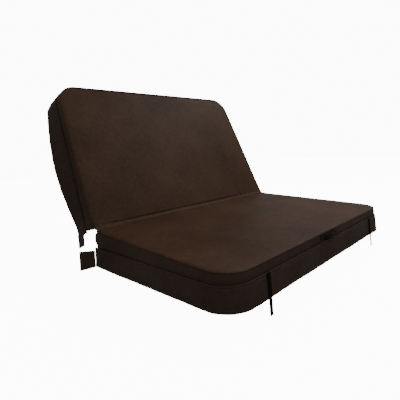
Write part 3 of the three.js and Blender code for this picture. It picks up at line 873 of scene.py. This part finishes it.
# %% Ribbons
def ribbon(name, line, across, width, thick, material, edge=4):
    """A flat closed strip along `line`, `across` its width, with softly rounded long edges."""
    line, across = np.asarray(line, float), np.asarray(across, float)
    tangent = np.gradient(line, axis=0)
    tangent /= np.linalg.norm(tangent, axis=1)[:, None]
    normal = np.cross(tangent, across)
    normal /= np.linalg.norm(normal, axis=1)[:, None]
    half = width / 2
    turn = np.linspace(-math.pi / 2, math.pi / 2, edge)
    ring = [(half - thick / 2 + thick / 2 * math.cos(t), thick / 2 * math.sin(t)) for t in turn]
    ring += [(u, thick / 2) for u in np.linspace(half * 0.8, -half * 0.8, 5)]
    ring += [(-a, -b) for a, b in ring[:edge]]
    ring += [(u, -thick / 2) for u in np.linspace(-half * 0.8, half * 0.8, 5)]
    verts, faces = [], []
    for p, n in zip(line, normal):
        verts += [p + across * u + n * w for u, w in ring]
    count = len(ring)
    for i in range(len(line) - 1):
        for k in range(count):
            a, b = i * count + k, i * count + (k + 1) % count
            faces.append((a, b, b + count, a + count))
    faces += [tuple(range(count))[::-1], tuple((len(line) - 1) * count + k for k in range(count))]
    return closed_piece(name, verts, faces, material)


def direction(half, vector):
    return place(half, [vector])[0] - place(half, [(0, 0, 0)])[0]


STRAP_V = HALF_DEPTH + LIP_OUT + 0.0022
STRAP_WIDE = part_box("flat_strap_left")[1].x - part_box("flat_strap_left")[0].x
STRAP_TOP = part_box("flat_strap_left")[1].z
STRAP_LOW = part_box("flat_strap_left")[0].z
STRAP_X = (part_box("flat_strap_right")[0].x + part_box("flat_strap_right")[1].x) / 2


def strap_piece(half, end):
    sign = {"right": 1, "left": -1}[end] * (-1 if half == "flat" else 1)
    z = np.linspace(STRAP_TOP, STRAP_LOW, 30)
    t = (STRAP_TOP - z) / (STRAP_TOP - STRAP_LOW)
    out = STRAP_V + 0.0022 * np.sin(math.pi * t) + 0.004 * t ** 3
    line = place(half, [(sign * STRAP_X, v, h) for v, h in zip(out, z)])
    name = f"{half}_tie_strap_{end}"
    piece = ribbon(name, line, direction(half, (1, 0, 0)), STRAP_WIDE, 0.002, WEBBING)
    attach(piece, f"{half}_strap_{end}")
    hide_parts(f"{half}_strap_{end}")


FLAP_THICK = 0.002
FLAP_SEWN, FLAP_REACH, FLAP_LIFT = 0.018, 0.092, 0.004
FLAP_PLACE = {"flat": 0.019, "lift": 0.013}
FLAP_SLANT = {"flat": -0.016, "lift": 0.014}
FLAP_FLARE = {"flat": math.radians(50), "lift": 0.0}
FLAP_CURL, FLAP_WAVE = 0.0011, 0.0007


def flap_piece(half, end, seed):
    """An end flap in the CAD flap's outline, curling a little outwards."""
    sign = 1 if end == "right" else -1
    x_in = HALF_LENGTH + FLAP_PLACE[half]
    sewn = SKIRT_END + FLAP_SEWN
    drop = 0.0 if half == "flat" else FLAP_REACH * math.cos(REST_ANGLE)
    run = math.sqrt(FLAP_REACH ** 2 - drop ** 2)
    top, low = LIP_LOW - 0.0003, SKIRT_LOW + FLAP_LIFT
    slant, flare = FLAP_SLANT[half], FLAP_FLARE[half]
    cols, rows = 16, 16
    shells = []
    for side in (0.5, -0.5):
        grid = []
        for i in range(rows):
            a = i / (rows - 1)
            for j in range(cols):
                b = j / (cols - 1)
                upper = top - drop * a
                bottom = low - drop * a + slant * a
                z = upper + (bottom - upper) * b
                curl = FLAP_CURL * (1 + math.sin(3.1 * b + seed))
                curl = curl + FLAP_WAVE * (1 + math.sin(7 * a + 2 * b))
                away = run * a
                out = curl * a + FLAP_THICK * side
                x = x_in + away * math.sin(flare) + out * math.cos(flare)
                v = sewn - away * math.cos(flare) + out * math.sin(flare)
                local = sign * x if half == "lift" else -sign * x
                grid.append((local, v, z))
        shells.append(place(half, grid).reshape(rows, cols, 3))
    piece = two_skins(f"{half}_end_flap_{end}", *shells, SIDE_VINYL)
    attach(piece, f"{half}_flap_{end}")
    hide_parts(f"{half}_flap_{end}")


HANDLE_HALF = (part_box("flat_handle")[1].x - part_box("flat_handle")[0].x) / 2
HANDLE_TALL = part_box("flat_handle")[1].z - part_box("flat_handle")[0].z
HANDLE_Z = (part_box("flat_handle")[1].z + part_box("flat_handle")[0].z) / 2
HANDLE_BOW = 0.021
HANDLE_SEWN = 0.034
HANDLE_FULLNESS = 0.7
HANDLE_THICK, HANDLE_OFF = 0.0030, 0.0020
PATCH_DOME = 0.0008


def handle_piece(half):
    xs = np.linspace(-HANDLE_HALF, HANDLE_HALF, 60)
    reach = HANDLE_HALF - HANDLE_SEWN
    inside = np.clip(np.cos(np.pi * xs / (2 * reach)), 0, 1)
    bow = np.where(np.abs(xs) < reach, HANDLE_BOW * inside ** HANDLE_FULLNESS, 0)
    kernel = np.ones(5) / 5
    bow = np.convolve(np.pad(bow, 2, mode="edge"), kernel, mode="valid")
    v = HALF_DEPTH + HANDLE_OFF + bow
    line = place(half, [(x, w, HANDLE_Z) for x, w in zip(xs, v)])
    name = f"{half}_loop_handle"
    up = direction(half, (0, 0, 1))
    # painted shade: the loop takes the darkened copy of the side vinyl
    piece = ribbon(name, line, up, HANDLE_TALL, HANDLE_THICK, HANDLE_SHADED_VINYL, 6)
    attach(piece, BODY[half])
    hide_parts(f"{half}_handle")


def patch_piece(end):
    """A sewn patch over one end of the flat half's handle, a little domed."""
    lo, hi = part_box(f"flat_handle_patch_{end}")
    across, up = np.linspace(0, 1, 14), np.linspace(0, 1, 12)
    a, b = np.meshgrid(across, up)
    x, z = -hi.x + (hi.x - lo.x) * a, lo.z + (hi.z - lo.z) * b
    dome = PATCH_DOME * np.sin(math.pi * a) * np.sin(math.pi * b)
    near, far = FOLD_Y - hi.y, FOLD_Y - lo.y
    skins = [np.stack([x, np.full_like(x, w) + dome, z], 2) for w in (far, near)]
    name = f"flat_sewn_patch_{end}"
    # painted shade: the patch takes the darkened copy of the side vinyl
    piece = two_skins(name, *[place("flat", s).reshape(s.shape) for s in skins], HANDLE_SHADED_VINYL)
    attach(piece, "flat_half")
    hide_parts(f"flat_handle_patch_{end}")


handle_piece("flat")
for end in ("left", "right"):
    patch_piece(end)
for half in ("flat", "lift"):
    for number, end in enumerate(("left", "right")):
        strap_piece(half, end)
        flap_piece(half, end, number + (2 if half == "lift" else 0))
print("straps, flaps and handle made")

# %% [markdown]
# Stitches are hundreds of copies of one small shape along a line, which is what Geometry Nodes do
# best. The tree turns an edge path into evenly spaced points, puts a thin cylinder on each, laid
# along the path, makes the copies real and gives them their material. The same tree with fatter,
# closer cylinders makes the coils of the zippers.

# %% Row tree
def row_tree():
    tree = bpy.data.node_groups.new("stitch_row", "GeometryNodeTree")
    face = tree.interface
    face.new_socket("Geometry", in_out="INPUT", socket_type="NodeSocketGeometry")
    for title, kind in (("Pitch", "NodeSocketFloat"), ("Radius", "NodeSocketFloat"),
                        ("Length", "NodeSocketFloat"), ("Thread", "NodeSocketMaterial")):
        face.new_socket(title, in_out="INPUT", socket_type=kind)
    face.new_socket("Geometry", in_out="OUTPUT", socket_type="NodeSocketGeometry")
    new, link = tree.nodes.new, tree.links.new
    enter, leave = new("NodeGroupInput"), new("NodeGroupOutput")
    curve, spaced = new("GeometryNodeMeshToCurve"), new("GeometryNodeResampleCurve")
    spaced.mode = "LENGTH"
    shape, copies = new("GeometryNodeMeshCylinder"), new("GeometryNodeInstanceOnPoints")
    shape.inputs["Vertices"].default_value = 6
    tangent, turn = new("GeometryNodeInputTangent"), new("FunctionNodeAlignRotationToVector")
    turn.axis = "Z"
    real, dress = new("GeometryNodeRealizeInstances"), new("GeometryNodeSetMaterial")
    link(enter.outputs["Geometry"], curve.inputs["Mesh"])
    link(curve.outputs["Curve"], spaced.inputs["Curve"])
    link(enter.outputs["Pitch"], spaced.inputs["Length"])
    link(enter.outputs["Radius"], shape.inputs["Radius"])
    link(enter.outputs["Length"], shape.inputs["Depth"])
    link(spaced.outputs["Curve"], copies.inputs["Points"])
    link(shape.outputs["Mesh"], copies.inputs["Instance"])
    link(tangent.outputs["Tangent"], turn.inputs["Vector"])
    link(turn.outputs["Rotation"], copies.inputs["Rotation"])
    link(copies.outputs["Instances"], real.inputs["Geometry"])
    link(real.outputs["Geometry"], dress.inputs["Geometry"])
    link(enter.outputs["Thread"], dress.inputs["Material"])
    link(dress.outputs["Geometry"], leave.inputs["Geometry"])
    return tree


ROW = row_tree()
SOCKETS = {s.name: s.identifier for s in ROW.interface.items_tree if s.in_out == "INPUT"}


def row_piece(name, body, lines, pitch, radius, length, material, slot):
    """Bakes rows of stitches along open lines, each a list of points in the row frame."""
    verts, edges = [], []
    for line in lines:
        first = len(verts)
        verts += [tuple(p) for p in line]
        edges += [(first + i, first + i + 1) for i in range(len(line) - 1)]
    mesh = bpy.data.meshes.new(name + "_path")
    mesh.from_pydata(verts, edges, [])
    path = bpy.data.objects.new(name + "_path", mesh)
    bpy.context.collection.objects.link(path)
    row = path.modifiers.new("row", "NODES")
    row.node_group = ROW
    values = {"Pitch": pitch, "Radius": radius, "Length": length, "Thread": material}
    for title, value in values.items():
        row[SOCKETS[title]] = value
    graph = bpy.context.evaluated_depsgraph_get()
    baked = bpy.data.meshes.new_from_object(path.evaluated_get(graph))
    bpy.data.objects.remove(path)
    piece = bpy.data.objects.new(name, baked)
    bpy.context.collection.objects.link(piece)
    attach(piece, body)
    print(name, len(baked.polygons), "faces")
    return piece


print("row tree has", len(ROW.nodes), "nodes")

# %% [markdown]
# A jacket has a row of topstitching just inside the top seam, one under the lip, one along the
# skirt's hem and two across each lap of the hinge strip. The handle has a box of stitches on each
# patch.

# %% Stitch lines
PITCH, THREAD_R, STITCH = 0.0058, 0.00055, 0.0042
TOP_ROW, LAP_ROWS, ON_CLOTH = -0.008, (0.030, 0.046), 0.0003
PATCH_PITCH, PATCH_THREAD, PATCH_STITCH = 0.0040, 0.0005, 0.003
COIL_PITCH, COIL_R, COIL_LENGTH = 0.0030, 0.0021, 0.0019


def side_line(half, offset, height, v_start):
    path, along = walk_sides(v_start)
    x = path[:, 0] + path[:, 2] * offset
    v = path[:, 1] + path[:, 3] * offset
    return place(half, np.stack([x, v, height(x, v, along)], 1))


def stitch_half(half, seed):
    on_top = lambda x, v, along: top_height(x, v, seed) + ON_CLOTH
    rows = [side_line(half, TOP_ROW, on_top, HALF_GAP)]
    body, name = BODY[half], f"{half}_top_stitches"
    row_piece(name, body, rows, PITCH, THREAD_R, STITCH, THREAD, "vinyl_top")
    laps = []
    for v in LAP_ROWS:
        xs = np.linspace(-HALF_LENGTH + 0.01, HALF_LENGTH - 0.01, 60)
        laps.append(place(half, [(x, v, top_at(v) + 0.0017) for x in xs]))
    name = f"{half}_lap_stitches"
    row_piece(name, body, laps, PITCH, THREAD_R, STITCH, THREAD, "vinyl_top")


def hem_stitches(half):
    """Follows the finished skirt's outer face, so that the thread sits on the waving cloth."""
    skirt = bpy.data.objects[f"{half}_skirt_cloth"]
    count = len(walk_sides(SKIRT_END)[0])
    rows = len(skirt.data.vertices) // count
    points = np.array([v.co for v in skirt.data.vertices]).reshape(count, rows, 3)
    outward = np.array([direction(half, (p[2], p[3], 0)) for p in walk_sides(SKIRT_END)[0]])
    hem = points[:, 12] + outward * ON_CLOTH
    under_lip = points[:, 1] + outward * ON_CLOTH
    name, rows = f"{half}_hem_stitches", [hem, under_lip]
    row_piece(name, BODY[half], rows, PITCH, THREAD_R, STITCH, THREAD, "vinyl_side")


def patch_stitches(half):
    lines = []
    v = FOLD_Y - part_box("flat_handle_patch_left")[0].y + PATCH_DOME / 2
    for sign in (-1, 1):
        x0, x1 = sign * (HANDLE_HALF - HANDLE_SEWN + 0.007), sign * (HANDLE_HALF - 0.005)
        z0, z1 = HANDLE_Z - HANDLE_TALL / 2 + 0.005, HANDLE_Z + HANDLE_TALL / 2 - 0.005
        corners = [(x0, z0), (x1, z0), (x1, z1), (x0, z1), (x0, z0), (x1, z1)]
        lines.append(place(half, [(x, v, z) for x, z in corners]))
    sizes = (PATCH_PITCH, PATCH_THREAD, PATCH_STITCH)
    row_piece(f"{half}_patch_stitches", BODY[half], lines, *sizes, THREAD, "vinyl_side")


def zipper_teeth(half):
    lo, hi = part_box("flat_zip_tape")
    v = FOLD_Y - (lo.y + hi.y) / 2
    half_tape = hi.x - 0.004
    line = place(half, [(x, v, lo.z + 0.0004) for x in np.linspace(-half_tape, half_tape, 40)])
    sizes = (COIL_PITCH, COIL_R, COIL_LENGTH)
    row_piece(f"{half}_zipper_teeth", BODY[half], [line], *sizes, TEETH, "zipper_cloth")


for half, seed in (("flat", 11), ("lift", 23)):
    stitch_half(half, seed)
    hem_stitches(half)
    zipper_teeth(half)
patch_stitches("flat")
